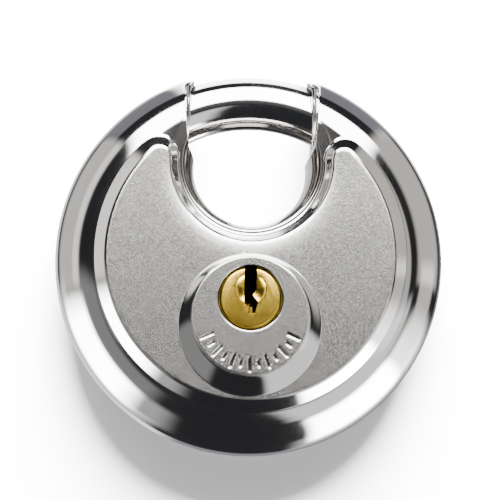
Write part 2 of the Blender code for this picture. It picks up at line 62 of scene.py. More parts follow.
# Sizes in millimetres: the CAD model's, but with finer noses, and with the shells' height, plateau and
# collars refined
BODY_RADIUS = 35.0
MID_Z = 12.8
SHELL_HALF_HEIGHT = 11.15    # 0.45 lower than in the CAD model, for a deeper step to the plateau
WALL = 0.9
SEAM_HALF_GAP = 0.15
RIM_WIDTH = 8.0
PLATEAU_HALF_HEIGHT = 12.8
PLATEAU_Y, PLATEAU_RADIUS = 0.6, 25.7    # its outer edge
PLATEAU_TIP_RADIUS = 1.9
EYE_BORDER_RADIUS = 14.5
EYE_Y = 17.3
BOSS_BASE_Y, BOSS_BASE_RADIUS = -11.7, 12.5
BOSS_TOP_Y, BOSS_TOP_RADIUS = -10.3, 10.5
BOSS_HALF_HEIGHT = 13.8
PLUG_Y = -7.0
PLUG_HOLE_RADIUS = 5.7
ARC_RADIUS = 29.0
ROD_RADIUS = 4.75
COLLAR_RADIUS = 5.95
COLLAR_OUTER_REACH = 161.2   # degrees from the bottom of the disc to a collar's mouth, along the outer edge
COLLAR_EYE_REACH = 112.0     # the same round the eye
COLLAR_MOUTH_FLARE = 2.0     # how far the eye's wall leaves its circle at a mouth
MOUTH_FLARE_START = 0.86     # share of the way to the mouth where it starts to leave
MOUTH_THINNING = 0.85        # share of the wall's thickness that the eye's wall loses there
COLLAR_BLEND = 0.6           # arc length over which a collar grows into the full body
SHACKLE_TIP_ANGLE = 125.0
SHACKLE_TAIL_ANGLE = -42.0
TAIL_FLAT_ANGLE = -28.0
TAIL_FLAT_Z = 11.2
SHACKLE_NOSE_ROUNDING = 1.3
PLUG_RADIUS = 6.0
PLUG_NOSE_RADIUS = 5.4
PLUG_Z = (5.8, 25.2)
PLUG_FACE_Z = 26.2
PLUG_NOSE_ROUNDING = 0.42
PLUG_TAIL_CHAMFER, PLUG_SHOULDER_CHAMFER = 0.3, 0.15
PLUG_EDGE = 0.09             # bevel along the keyway and the dish
KEYWAY_FLOOR_Z = 7.2
KEYWAY_DISH = (1.55, 2.86, 1.15)    # dish round the keyway: centre above the plug's axis, radius, depth
DISH_POWER = 1.3             # how steep the dish's sides are; 1 would be an ellipse
KEYWAY_DARK_DEPTH, KEYWAY_DARK_FADE = 0.5, 0.9    # depth under the face where the painted shade starts, and its fade

# Fine shape of the shells
EYE_CREASE = 12.5            # radius round the eye where its wall starts to fall
EYE_WALL_POWER = 2.5         # how square the wall's profile is; 2 would be an ellipse
EYE_SEAM_Y, EYE_SEAM_RADIUS = 16.6, 10.25
OUTER_BEVEL = (1.95, 2.05)    # sloping border round the crescent plateau: foot outside its edge, width
EYE_BEVEL = (1.5, 1.35)
BEVEL_FOOT, BEVEL_CREST = 0.02, 0.05    # rounding at its foot and crest, as shares of its width
SATIN_START, EYE_SATIN_START = 0.1, -0.05    # depth inside the plateau's edges where the satin starts
SATIN_FADE = 0.2
WALL_SHADE_EDGE, WALL_SHADE_FADE = 0.2, 0.9    # how far outside the crease the painted shade on the eye's wall starts, and its fade; it is tinted brown like grime
BORDER_CHANGE = 4.0          # width over which the plateau's border changes from the outer kind to the eye's
EYE_DIP, EYE_DIP_LENGTH = 0.14, 1.4    # the plateau's fall towards the eye: depth and length
EYE_DIP_OVERRUN = 0.3        # how far past its border the fall goes on
SEAM_RISE, SEAM_RISE_ROWS = 0.05, 6    # least height that the first rows gain over the seam
WALL_LEAST_HEIGHT = 0.1      # least height of the eye's wall over the seam
LIP_REACH = 0.6              # how much further the collars' outer corners reach over the shackle
LIP_START, LIP_WIDTH = 0.984, 1.6    # where the reach starts along the body and how wide the corner is
BOSS_FOOT, BOSS_CREST = 0.03, 0.09    # rounding of the boss's slope, as shares of its width
BOSS_OVERRUN = 0.1           # share of the slope's width that its rings run on past its foot and crest
WINDOW_GAPS = (0.05, 0.3)    # room between the boss and the faces round it, outside and inside the shell
TICK_RADIUS, TICK_PITCH, TICK_NUMBER, TICK_DEPTH = 8.3, 11.0, 6, 0.14    # pitch in degrees, number each side
LONG_TICK, SHORT_TICK, TICK_HALF_WIDTH, TICK_SLOPE = 1.05, 0.4, 0.16, 0.13
LIP_ROUNDING = 0.3
HOLE_ROUNDING = 0.2
SHELL_SHARP_DEGREES, SHACKLE_SHARP_DEGREES, PLUG_SHARP_DEGREES = 40.0, 35.0, 13.0    # sharp above these

# How finely the meshes are divided
SHELL_LINES = 340            # lines round a shell, from its outer edge to the eye
LINE_CROWDING = 0.8          # how much closer together the lines are towards the mouths
ROW_MARGIN = 0.4             # the rows of the outer bevel start this far outside its foot
COLLAR_ROWS_START, COLLAR_ROWS_SPAN = 0.8, 0.12    # share of the way to a mouth where its own rows start
OUTER_ROWS = (34, 20, 34, 16)    # rows on the rim, on each bevel, between the bevels and on the eye's flare
INNER_ROWS = (10, 2, 12, 5)
OUTER_WALL_ROWS, INNER_WALL_ROWS = 3, 1    # rows on the last upright stretch of the eye's wall
CREASE_LIMIT = 0.97          # share of a line's length that its rows reach before the eye's flare, at most
FLARE_CROWDING = 1.35        # how much the rows of the eye's flare crowd towards the crease
BOSS_STEPS, BOSS_SLOPE_RINGS, BOSS_TOP_RINGS = 480, 27, 36
ROD_STATIONS, ROD_SIDES = 240, 96
PLUG_SIDES, DISH_SIDES = 160, 96

# Studio
AMBIENT = 0.036              # brightness of the dim room outside the soft boxes
BACKDROP = 13.0              # brightness of the backdrop to the camera
FLOOR_HALF_SIZE, FLOOR_GAP = 1.5, 0.00002    # metres
CAMERA_DISTANCE, VIEW_WIDTH = 0.42, 0.09076    # metres
CAMERA_TARGET = (0.00024, 0.00236, MID_Z * MM)
LEAN_DOWN, LEAN_LEFT, ROLL = (math.radians(degrees) for degrees in (4.0, 1.9, 0.7))

# Metals inside the body: slot; the material's name, dark and light colour, roughness, grain and its depth
INNER_METALS = {
    "zinc_casting": ("zinc_cast", (0.36, 0.37, 0.39), (0.48, 0.49, 0.51), 0.48, 1500.0, 0.00003),
    "inner_steel": ("steel_inner", (0.26, 0.26, 0.28), (0.40, 0.40, 0.42), 0.32, 2500.0, 0.00001),
    "spring_steel": ("steel_spring", (0.42, 0.42, 0.44), (0.56, 0.56, 0.58), 0.22, 3000.0, 0.000006)}


def smoothstep(t):
    t = np.clip(t, 0.0, 1.0)
    return t * t * (3.0 - 2.0 * t)


def soft_ramp(t, foot, crest):
    """Rises from 0 to 1 while t goes from 0 to 1, rounded at its foot and at its crest."""
    return foot * np.logaddexp(0.0, t / foot) - crest * np.logaddexp(0.0, (t - 1.0) / crest)


# ---------------------------------------------------------------- shells

def crescent_depth(x, y):
    """Signed distance inside the crescent plateau: two circles and rounded tips."""
    reach, off = PLATEAU_RADIUS - PLATEAU_TIP_RADIUS, EYE_BORDER_RADIUS + PLATEAU_TIP_RADIUS
    y, eye_y = y - PLATEAU_Y, EYE_Y - PLATEAU_Y
    tip_y = (reach ** 2 - off ** 2 + eye_y ** 2) / (2 * eye_y)
    tip_x = math.sqrt(reach ** 2 - tip_y ** 2)
    out = np.array((tip_x, tip_y)) / reach
    to_eye = np.array((-tip_x, eye_y - tip_y)) / off
    vx, vy = np.abs(x) - tip_x, y - tip_y
    cross = out[0] * to_eye[1] - out[1] * to_eye[0]
    along_out = (vx * to_eye[1] - vy * to_eye[0]) / cross
    along_eye = (out[0] * vy - out[1] * vx) / cross
    sides = np.minimum(PLATEAU_RADIUS - np.hypot(x, y), np.hypot(x, y - eye_y) - EYE_BORDER_RADIUS)
    return np.where((along_out > 0) & (along_eye > 0), PLATEAU_TIP_RADIUS - np.hypot(vx, vy), sides)


def outer_share(x, y):
    """1 where the plateau's outer edge is the nearer one and 0 where the edge round the eye is."""
    from_outer = PLATEAU_RADIUS - np.hypot(x, y - PLATEAU_Y)
    from_eye = np.hypot(x, y - EYE_Y) - EYE_BORDER_RADIUS
    return smoothstep(0.5 + (from_eye - from_outer) / BORDER_CHANGE)


def eye_dip(x, y):
    """The plateau's gentle fall towards its border round the eye."""
    from_border = np.maximum(np.hypot(x, y - EYE_Y) - EYE_BORDER_RADIUS, -EYE_DIP_OVERRUN)
    return EYE_DIP * np.exp(-from_border / EYE_DIP_LENGTH)


def shell_height(x, y, blend, inset):
    """Height of the shell's surface over the seam; blend is 0 on a collar's mouth and 1 on the body."""
    from_axis = np.hypot(x, y)
    tube = np.sqrt(np.maximum(0.0, (COLLAR_RADIUS - inset) ** 2 - (from_axis - ARC_RADIUS) ** 2))
    top = SHELL_HALF_HEIGHT - inset
    outward = np.maximum(0.0, from_axis - (BODY_RADIUS - RIM_WIDTH)) / (RIM_WIDTH - inset)
    rim = np.sqrt(np.maximum(0.0, 1.0 - outward ** 2))
    past_crease = np.maximum(0.0, EYE_CREASE - np.hypot(x, y - EYE_Y))
    to_wall = np.maximum(0.0, np.hypot(x, y - EYE_SEAM_Y) - EYE_SEAM_RADIUS - inset)
    fall = (past_crease / (past_crease + to_wall + 1e-6)) ** EYE_WALL_POWER
    eye = np.maximum(0.0, 1.0 - fall) ** (1.0 / EYE_WALL_POWER)
    step = PLATEAU_HALF_HEIGHT - SHELL_HALF_HEIGHT
    share = outer_share(x, y)
    foot, width = (EYE_BEVEL[i] + (OUTER_BEVEL[i] - EYE_BEVEL[i]) * share for i in (0, 1))
    up_the_bevel = (crescent_depth(x, y) - inset + foot) / width
    plateau = step * soft_ramp(up_the_bevel, BEVEL_FOOT, BEVEL_CREST) - eye_dip(x, y)
    return tube + (top * rim * eye + plateau - tube) * blend


def line_frames(inset):
    """Ends of the lines that run from the outer edge to the eye, and each line's share of the full body."""
    t = np.linspace(-1.0, 1.0, SHELL_LINES + 1)
    u = (1.0 - LINE_CROWDING) * t + LINE_CROWDING * np.sin(math.pi / 2 * t)
    flare = smoothstep((np.abs(u) - MOUTH_FLARE_START) / (1.0 - MOUTH_FLARE_START))

    def ends(offset):
        around = np.radians(u * COLLAR_OUTER_REACH - 90.0)
        outer = np.stack((np.cos(around), np.sin(around)), 1) * (BODY_RADIUS - offset)
        around = np.radians(u * COLLAR_EYE_REACH - 90.0)
        radius = EYE_SEAM_RADIUS + offset * (1.0 - MOUTH_THINNING * flare) + COLLAR_MOUTH_FLARE * flare
        wall = np.stack((np.cos(around), np.sin(around)), 1) * radius[:, None]
        return outer, wall + np.array((0.0, EYE_SEAM_Y))

    middle = sum(ends(0.0)) / 2
    turn = np.arctan2(np.abs(middle[:, 0]), middle[:, 1])
    blend = smoothstep((ARC_RADIUS * (turn - turn[0]) - inset) / COLLAR_BLEND)
    return (*ends(inset), u, blend)


def crossing(start, along, centre_y, radii):
    """Where lines that run along from their start first meet circles about (0, centre_y)."""
    start = start - np.array((0.0, centre_y))
    lean = np.sum(start * along, axis=1)[:, None]
    return -lean - np.sqrt(np.maximum(0.0, lean ** 2 - np.sum(start ** 2, axis=1)[:, None] + radii ** 2))


def line_distances(outer, inner, u, inset, rows):
    """Where each line's points lie along it: the rows follow the rim, both bevels and the eye's flare."""
    rim_rows, bevel_rows, middle_rows, flare_rows = rows
    length = np.linalg.norm(inner - outer, axis=1)
    along = (inner - outer) / length[:, None]
    foot = PLATEAU_RADIUS + OUTER_BEVEL[0]
    last_turn = math.acos((foot + PLATEAU_Y + ROW_MARGIN - BODY_RADIUS + RIM_WIDTH) / RIM_WIDTH)
    rim = BODY_RADIUS - RIM_WIDTH + (RIM_WIDTH - inset) * np.cos(np.linspace(0.0, last_turn, rim_rows + 1))
    # a fifth of the outer bevel's rows crowd at its foot and half of them at its crest
    bevel = np.interp(np.linspace(0.0, 1.0, bevel_rows + 1)[1:], (0.0, 0.15, 0.35, 0.5, 1.0),
                      (foot + ROW_MARGIN, foot + 0.1, foot - 0.1, PLATEAU_RADIUS + 0.8, PLATEAU_RADIUS - 1.1))
    start = np.concatenate((crossing(outer, along, 0.0, rim),
                            crossing(outer, along, PLATEAU_Y, bevel)), axis=1)
    # half of the eye bevel's rows crowd at its crest and a fifth of them at the crease
    border = np.interp(np.linspace(0.0, 1.0, bevel_rows + 1), (0.0, 0.5, 0.8, 1.0),
                       (EYE_BORDER_RADIUS + 0.6, EYE_BORDER_RADIUS - 0.6,
                        EYE_CREASE + 0.08, EYE_CREASE - 0.04))
    cross = np.minimum(crossing(outer, along, EYE_Y, border), length[:, None] * CREASE_LIMIT)
    turn = math.pi / 2 * np.linspace(0.0, 1.0, flare_rows + 1)[1:] ** FLARE_CROWDING
    finish = np.concatenate((cross, cross[:, -1:] + (length[:, None] - cross[:, -1:]) * np.sin(turn)), axis=1)
    share = np.linspace(0.0, 1.0, middle_rows + 1)[1:-1]
    middle = start[:, -1:] + (finish[:, :1] - start[:, -1:]) * share
    body = np.concatenate((start, middle, finish), axis=1)
    count = body.shape[1]
    collar = length[:, None] / 2 * (1.0 - np.cos(np.linspace(0.0, math.pi, count)))
    weight = 1.0 - smoothstep((np.abs(u) - COLLAR_ROWS_START) / COLLAR_ROWS_SPAN)[:, None]
    return collar + (body - collar) * weight


def shell_surface(inset, rows, wall_rows):
    """Grid of points (lines, rows, 3) with heights over the seam, and the blend of each line."""
    outer, inner, u, blend = line_frames(inset)
    distance = line_distances(outer, inner, u, inset, rows)
    length = np.linalg.norm(inner - outer, axis=1)[:, None]
    share = (distance / length)[..., None]
    plan = outer[:, None, :] + (inner - outer)[:, None, :] * share
    height = shell_height(plan[..., 0], plan[..., 1], blend[:, None], inset)
    rise = SEAM_RISE * np.arange(height.shape[1]).clip(0, SEAM_RISE_ROWS) / SEAM_RISE_ROWS
    height = np.maximum(height, SEAM_HALF_GAP + rise)
    height[:, 0] = SEAM_HALF_GAP
    last = np.maximum(height[:, -1:], SEAM_HALF_GAP + WALL_LEAST_HEIGHT)
    drop = np.linspace(0.0, 1.0, wall_rows + 1)
    wall = last + (SEAM_HALF_GAP - last) * drop
    reach = LIP_REACH * smoothstep((np.abs(u) - LIP_START) / (1.0 - LIP_START))[:, None]
    corner_start = BODY_RADIUS - LIP_ROUNDING - LIP_WIDTH
    reach = reach * smoothstep((np.hypot(plan[..., 0], plan[..., 1]) - corner_start) / LIP_WIDTH)
    plan[..., 0] -= np.sign(u)[:, None] * reach
    plan = np.concatenate((plan, np.repeat(plan[:, -1:], wall_rows, axis=1)), axis=1)
    height = np.concatenate((height[:, :-1], wall), axis=1)
    return np.concatenate((plan, height[..., None]), axis=2)


def collar_lip(line, shift, inset):
    """A collar's last line moved towards the gap and drawn in by a small rounding."""
    from_axis = np.hypot(line[:, 0], line[:, 1])
    scale = 1.0 - inset / COLLAR_RADIUS
    drawn = ARC_RADIUS + (from_axis - ARC_RADIUS) * scale
    moved = line.copy()
    moved[:, :2] *= (drawn / from_axis)[:, None]
    moved[:, 2] = np.maximum(moved[:, 2] * scale, SEAM_HALF_GAP)
    moved[:, 0] -= np.sign(line[0, 0]) * shift
    return moved


def with_lips(grid, steps):
    """Add the lines that round a collar's lip at both ends of the grid; steps lists (shift, inset)."""
    first = [collar_lip(grid[0], *step) for step in reversed(steps)]
    final = [collar_lip(grid[-1], *step) for step in steps]
    return np.concatenate((np.array(first), grid, np.array(final)))


def grid_faces(index):
    """Quads between the neighbours of a grid of vertex numbers."""
    faces = np.stack((index[:-1, :-1], index[:-1, 1:], index[1:, 1:], index[1:, :-1]), axis=2)
    return faces.reshape(-1, 4)


def strip(first, second):
    """Quads between two rows of vertex numbers."""
    return np.stack((first[:-1], first[1:], second[1:], second[:-1]), axis=1)


def open_window(points, faces, centre, radius):
    """Leave out the faces that reach into a circle; returns the faces kept and the window's edge loop."""
    inside = np.hypot(points[:, 0] - centre[0], points[:, 1] - centre[1]) < radius
    inside[np.setdiff1d(np.arange(len(points)), faces)] = False
    removed = inside[faces].any(axis=1)
    edges = {}
    for face in faces[removed].tolist():
        for a, b in zip(face, face[1:] + face[:1]):
            if (b, a) in edges:
                del edges[(b, a)]
            else:
                edges[(a, b)] = True
    following = {a: b for a, b in edges}
    start = next(iter(following))
    loop = [start]
    while following[loop[-1]] != start:
        loop.append(following[loop[-1]])
    return faces[~removed], loop


def fill_between(points, loop, ring, centre, radius):
    """Triangles on the flat between a window's edge and a ring of points."""
    numbers = list(loop) + list(ring)
    corners = [Vector(points[n][:2]) for n in numbers]
    edges = [(i, (i + 1) % len(loop)) for i in range(len(loop))]
    edges += [(len(loop) + i, len(loop) + (i + 1) % len(ring)) for i in range(len(ring))]
    made, _, faces, origin, _, _ = delaunay_2d_cdt(corners, edges, [], 1, 1e-6)
    triangles = []
    for face in faces:
        middle = sum((made[k] for k in face), Vector((0.0, 0.0))) / len(face)
        if math.hypot(middle.x - centre[0], middle.y - centre[1]) > radius * 0.9995:
            triangles.append([numbers[origin[k][0]] for k in face])
    return triangles


def boss_rings():
    """Rings (centre y, radius, height, satin) over the boss, down the plug's hole and out under the boss."""
    rings = []
    for share in np.linspace(-BOSS_OVERRUN, 1.0 + BOSS_OVERRUN, BOSS_SLOPE_RINGS):
        rise = soft_ramp(share, BOSS_FOOT, BOSS_CREST)
        polished = smoothstep((share + 0.04) / 0.06) * (1.0 - smoothstep((share - 0.98) / 0.06))
        rings.append((BOSS_BASE_Y + (BOSS_TOP_Y - BOSS_BASE_Y) * share,
                      BOSS_BASE_RADIUS + (BOSS_TOP_RADIUS - BOSS_BASE_RADIUS) * share,
                      PLATEAU_HALF_HEIGHT + (BOSS_HALF_HEIGHT - PLATEAU_HALF_HEIGHT) * rise, 1.0 - polished))
    start_y, start_radius = rings[-1][:2]
    end_radius = PLUG_HOLE_RADIUS + HOLE_ROUNDING
    for share in np.linspace(0.0, 1.0, BOSS_TOP_RINGS + 1)[1:]:
        rings.append((start_y + (PLUG_Y - start_y) * share,
                      start_radius + (end_radius - start_radius) * share, BOSS_HALF_HEIGHT, 1.0))
    for turn in np.radians((22.5, 45.0, 67.5, 90.0)):
        rings.append((PLUG_Y, PLUG_HOLE_RADIUS + HOLE_ROUNDING * (1.0 - math.sin(turn)),
                      BOSS_HALF_HEIGHT - HOLE_ROUNDING * (1.0 - math.cos(turn)), 0.0))
    under = BOSS_HALF_HEIGHT - WALL
    for share in (0.5, 1.0):
        rings.append((PLUG_Y, PLUG_HOLE_RADIUS, BOSS_HALF_HEIGHT - HOLE_ROUNDING
                      + (under - BOSS_HALF_HEIGHT + HOLE_ROUNDING) * share, 0.0))
    for share in (0.33, 0.67, 1.0):
        rings.append((PLUG_Y + (BOSS_TOP_Y - PLUG_Y) * share,
                      PLUG_HOLE_RADIUS + (BOSS_TOP_RADIUS - WALL - PLUG_HOLE_RADIUS) * share, under, 0.0))
    rings.append((BOSS_TOP_Y, BOSS_TOP_RADIUS - WALL, PLATEAU_HALF_HEIGHT - WALL, 0.0))
    return rings


def stamped_ticks(x, y):
    """1 inside the neutral row of long and short ticks stamped round the lower half of the boss face."""
    out = np.hypot(x, y - BOSS_TOP_Y)
    around = np.degrees(np.arctan2(y - BOSS_TOP_Y, x)) + 90.0
    around = (around + 180.0) % 360.0 - 180.0
    number = np.round(around / TICK_PITCH)
    sideways = np.abs(np.radians(around - number * TICK_PITCH)) * out
    half_length = np.where(number % 2 == 0, LONG_TICK, SHORT_TICK)
    lengthways = np.maximum(0.0, np.abs(out - TICK_RADIUS) - half_length)
    inside = 1.0 - smoothstep((np.hypot(sideways, lengthways) - TICK_HALF_WIDTH) / TICK_SLOPE)
    return np.where(np.abs(number) <= TICK_NUMBER, inside, 0.0)


class Skin:
    """Points, faces and point masks of a mesh in the making."""

    def __init__(self):
        self.points = np.zeros((0, 3))
        self.faces = []
        self.masks = {name: np.zeros(0) for name in ("satin", "stamped", "grime")}

    def add(self, grid, **masks):
        """Add a grid of points with its masks, 0 where none is given; returns its vertex numbers."""
        index = len(self.points) + np.arange(grid.shape[0] * grid.shape[1]).reshape(grid.shape[:2])
        self.points = np.concatenate((self.points, grid.reshape(-1, 3)))
        for name, values in self.masks.items():
            added = np.broadcast_to(masks.get(name, 0.0), index.shape)
            self.masks[name] = np.concatenate((values, added.ravel()))
        return index


def shell_grids():
    """The outer and inner surfaces; the outer one has rounded lips at both mouths."""
    turns = np.radians((30.0, 60.0, 90.0))
    rounding = [(LIP_ROUNDING * math.sin(turn), LIP_ROUNDING * (1.0 - math.cos(turn))) for turn in turns]
    outer = with_lips(shell_surface(0.0, OUTER_ROWS, OUTER_WALL_ROWS), rounding)
    inner = with_lips(shell_surface(WALL, INNER_ROWS, INNER_WALL_ROWS), [(LIP_ROUNDING, 0.0)])
    return outer, inner


def level_circle(centre_y, radius, height, steps):
    """Points of a level circle about an upright axis."""
    around = np.linspace(0.0, 2 * math.pi, steps, endpoint=False)
    return np.stack((radius * np.cos(around), centre_y + radius * np.sin(around), np.full(steps, height)), 1)


def boss_grid(rings):
    """Points on the boss's rings with the ticks stamped in, and the mask that darkens the ticks and paints
    shade on the wall of the plug's hole.
    """
    grid = np.array([level_circle(y, radius, height, BOSS_STEPS) for y, radius, height, _ in rings])
    x, y, height = (grid[..., i] for i in range(3))
    on_top = np.array([ring[2] for ring in rings]) > BOSS_HALF_HEIGHT - 0.003
    in_hole = np.array([ring[1] for ring in rings]) < PLUG_HOLE_RADIUS + 0.1
    below_top = np.clip((BOSS_HALF_HEIGHT - height) / (BOSS_HALF_HEIGHT - PLATEAU_HALF_HEIGHT), 0.0, 1.0)
    marks = stamped_ticks(x, y) * on_top[:, None]
    grid[..., 2] -= eye_dip(x, y) * below_top + TICK_DEPTH * marks
    # the wall of the plug's hole joins the dark mask: painted shade in the gap round the plug
    return grid, np.maximum(marks, in_hole[:, None])


def closing_faces(outer_index, inner_index):
    """Faces that join the two surfaces along the seam, round the eye and over the rims of both mouths."""
    spare = (len(outer_index) - len(inner_index)) // 2
    faces = []
    for row in (0, -1):
        inner = inner_index[:, row]
        padded = np.concatenate(([inner[0]] * spare, inner, [inner[-1]] * spare))
        faces += [list(dict.fromkeys(quad)) for quad in strip(outer_index[:, row], padded).tolist()]
    for line in (0, -1):
        faces.append(outer_index[line].tolist() + inner_index[line][::-1].tolist())
    return faces


def make_shell(name, side, with_boss):
    """One pressed shell as a closed solid; side is +1 for the front and -1 for the back."""
    skin = Skin()
    outer, inner = shell_grids()
    x, y = outer[..., 0], outer[..., 1]
    satin_edge = EYE_SATIN_START + (SATIN_START - EYE_SATIN_START) * outer_share(x, y)
    # the eye's wall past its crease gets a mask that darkens it: painted shade, tinted like grime
    outer_index = skin.add(outer, satin=smoothstep((crescent_depth(x, y) - satin_edge) / SATIN_FADE),
                           grime=smoothstep((EYE_CREASE + WALL_SHADE_EDGE - np.hypot(x, y - EYE_Y)) / WALL_SHADE_FADE))
    inner_index = skin.add(inner)
    sheets = [grid_faces(outer_index), grid_faces(inner_index)]
    if with_boss:
        rings = boss_rings()
        boss, stamped = boss_grid(rings)
        boss_index = skin.add(boss, satin=np.array([[ring[3]] for ring in rings]), stamped=stamped)
        skin.faces += grid_faces(np.concatenate((boss_index, boss_index[:, :1]), axis=1)).tolist()
        for sheet, ring, gap in zip((0, 1), (0, -1), WINDOW_GAPS):
            centre, radius = (0.0, rings[ring][0]), rings[ring][1]
            sheets[sheet], loop = open_window(skin.points, sheets[sheet], centre, radius + gap)
            skin.faces += fill_between(skin.points, loop, boss_index[ring].tolist(), centre, radius)
    skin.faces += sheets[0].tolist() + sheets[1].tolist() + closing_faces(outer_index, inner_index)
    skin.points[:, 2] = MID_Z + side * skin.points[:, 2]
    mesh = bpy.data.meshes.new(name)
    mesh.from_pydata((skin.points * MM).tolist(), [], skin.faces)
    for attribute, values in skin.masks.items():
        mask = mesh.attributes.new(attribute, "FLOAT", "POINT")
        mask.data.foreach_set("value", values.astype(np.float32))
    return finish_mesh(name, mesh, SHELL_SHARP_DEGREES)


def finish_mesh(name, mesh, sharp_degrees):
    """Point the faces outwards, shade smooth and link the object."""
    bm = bmesh.new()
    bm.from_mesh(mesh)
    bmesh.ops.recalc_face_normals(bm, faces=bm.faces)
    loose = [vertex for vertex in bm.verts if not vertex.link_faces]
    bmesh.ops.delete(bm, geom=loose, context="VERTS")
    bm.to_mesh(mesh)
    bm.free()
    mesh.shade_smooth()
    mesh.set_sharp_from_angle(angle=math.radians(sharp_degrees))
    made = bpy.data.objects.new(name, mesh)
    bpy.context.scene.collection.objects.link(made)
    return made


# ---------------------------------------------------------------- shackle and plug

def rings_mesh(name, rings):
    """Skin a list of closed rings of equal length and close both ends."""
    count = len(rings[0])
    points = np.array(rings).reshape(-1, 3)
    index = np.arange(len(points)).reshape(-1, count)
    closed = np.concatenate((index, index[:, :1]), axis=1)
    faces = [quad for low, high in zip(closed, closed[1:]) for quad in strip(low, high).tolist()]
    faces += [index[0][::-1].tolist(), index[-1].tolist()]
    mesh = bpy.data.meshes.new(name)
    mesh.from_pydata((points * MM).tolist(), [], faces)
    return mesh


def make_shackle():
    """Polished rod along the arc; its nose is rounded and the rear of its tail is milled flat."""
    nose = SHACKLE_NOSE_ROUNDING
    nose_degrees = math.degrees(nose / ARC_RADIUS)
    full_width = np.linspace(SHACKLE_TAIL_ANGLE, SHACKLE_TIP_ANGLE - nose_degrees, ROD_STATIONS)
    stations = [(angle, ROD_RADIUS) for angle in full_width]
    stations += [(SHACKLE_TIP_ANGLE - nose_degrees * (1.0 - math.sin(turn)),
                  ROD_RADIUS - nose * (1.0 - math.cos(turn)))
                 for turn in np.linspace(0.0, math.pi / 2, 10)[1:]]
    around = np.linspace(0.0, 2 * math.pi, ROD_SIDES, endpoint=False)
    rings = []
    for angle, radius in stations:
        out = ARC_RADIUS + radius * np.cos(around)
        height = MID_Z + radius * np.sin(around)
        if angle < TAIL_FLAT_ANGLE:
            height = np.maximum(height, TAIL_FLAT_Z)
        turn = math.radians(angle)
        rings.append(np.stack((out * math.cos(turn), out * math.sin(turn), height), 1))
    return finish_mesh("shackle_rod", rings_mesh("shackle_rod", rings), SHACKLE_SHARP_DEGREES)


def turned(name, profile, centre_y, steps):
    """A solid turned about an upright axis; the profile lists (radius, z) upwards."""
    rings = [level_circle(centre_y, radius, z, steps) for radius, z in profile]
    return finish_mesh(name, rings_mesh(name, rings), 30.0)


def rounded_outline(corners, radius, steps=4):
    """An outline whose corners are rounded by short arcs."""
    outline = []
    for i, corner in enumerate(corners):
        here = Vector(corner)
        before = Vector(corners[i - 1]) - here
        after = Vector(corners[(i + 1) % len(corners)]) - here
        reach = min(radius, before.length * 0.45, after.length * 0.45)
        a, b = here + before.normalized() * reach, here + after.normalized() * reach
        for k in range(steps + 1):
            t = k / steps
            outline.append(a * (1 - t) ** 2 + here * 2 * t * (1 - t) + b * t ** 2)
    return outline


def keyway_outline():
    """The keyway seen from the front: a wide slot with a ward on each side, open past the plug's top edge."""
    corners = [(1.1, 7.0), (1.1, 1.5), (0.37, 0.56), (1.37, -0.6), (0.82, -2.65),
               (-0.5, -2.65), (-0.25, -1.3), (-1.1, -0.8), (-1.1, 7.0)]
    return [(p.x, p.y + PLUG_Y) for p in rounded_outline(corners, 0.3)]


def cut(target, tool):
    modifier = target.modifiers.new("cut", "BOOLEAN")
    modifier.operation = "DIFFERENCE"
    modifier.object = tool
    modifier.solver = "EXACT"


def settle(target, tools):
    """Apply the modifiers to the mesh and remove the cutters."""
    graph = bpy.context.evaluated_depsgraph_get()
    graph.update()
    mesh = bpy.data.meshes.new_from_object(target.evaluated_get(graph))
    target.modifiers.clear()
    target.data = mesh
    for tool in tools:
        bpy.data.objects.remove(tool, do_unlink=True)


def dish_cutter():
    """A round bowl with an upright rim that reaches past the plug's face."""
    rise, radius, depth = KEYWAY_DISH
    profile = [(radius * math.sin(turn), PLUG_FACE_Z - depth * math.cos(turn) ** DISH_POWER)
               for turn in np.radians((4.0, 15.0, 30.0, 45.0, 60.0, 72.0, 82.0))]
    profile += [(radius, PLUG_FACE_Z + 0.02), (radius + 0.04, PLUG_FACE_Z + 1.0)]
    return turned("dish_cutter", profile, PLUG_Y + rise, DISH_SIDES)


def keyway_cutter():
    rings = [np.array([(x, y, z) for x, y in keyway_outline()]) for z in (KEYWAY_FLOOR_Z, PLUG_FACE_Z + 2.0)]
    return finish_mesh("keyway_cutter", rings_mesh("keyway_cutter", rings), 30.0)


def make_plug():
    """Brass cylinder: rounded nose, a dish sunk round the keyway and the keyway open at its top edge."""
    nose, shoulder, rounding = PLUG_NOSE_RADIUS, PLUG_RADIUS, PLUG_NOSE_ROUNDING
    profile = [(shoulder - PLUG_TAIL_CHAMFER, PLUG_Z[0]), (shoulder, PLUG_Z[0] + PLUG_TAIL_CHAMFER),
               (shoulder, PLUG_Z[1] - PLUG_SHOULDER_CHAMFER), (shoulder - PLUG_SHOULDER_CHAMFER, PLUG_Z[1]),
               (nose, PLUG_Z[1]), (nose, PLUG_FACE_Z - rounding)]
    profile += [(nose - rounding * (1 - math.cos(turn)), PLUG_FACE_Z - rounding * (1 - math.sin(turn)))
                for turn in np.radians((15.0, 30.0, 45.0, 60.0, 75.0, 90.0))]
    plug = turned("plug_cylinder", profile, PLUG_Y, PLUG_SIDES)
    cutters = (dish_cutter(), keyway_cutter())
    for cutter in cutters:
        cut(plug, cutter)
    settle(plug, cutters)
    bevel = plug.modifiers.new("edges", "BEVEL")
    bevel.width = PLUG_EDGE * MM
    bevel.segments = 2
    bevel.limit_method = "ANGLE"
    bevel.angle_limit = math.radians(35.0)
    settle(plug, ())
    plug.data.shade_smooth()
    plug.data.set_sharp_from_angle(angle=math.radians(PLUG_SHARP_DEGREES))
    return plug


# ---------------------------------------------------------------- materials

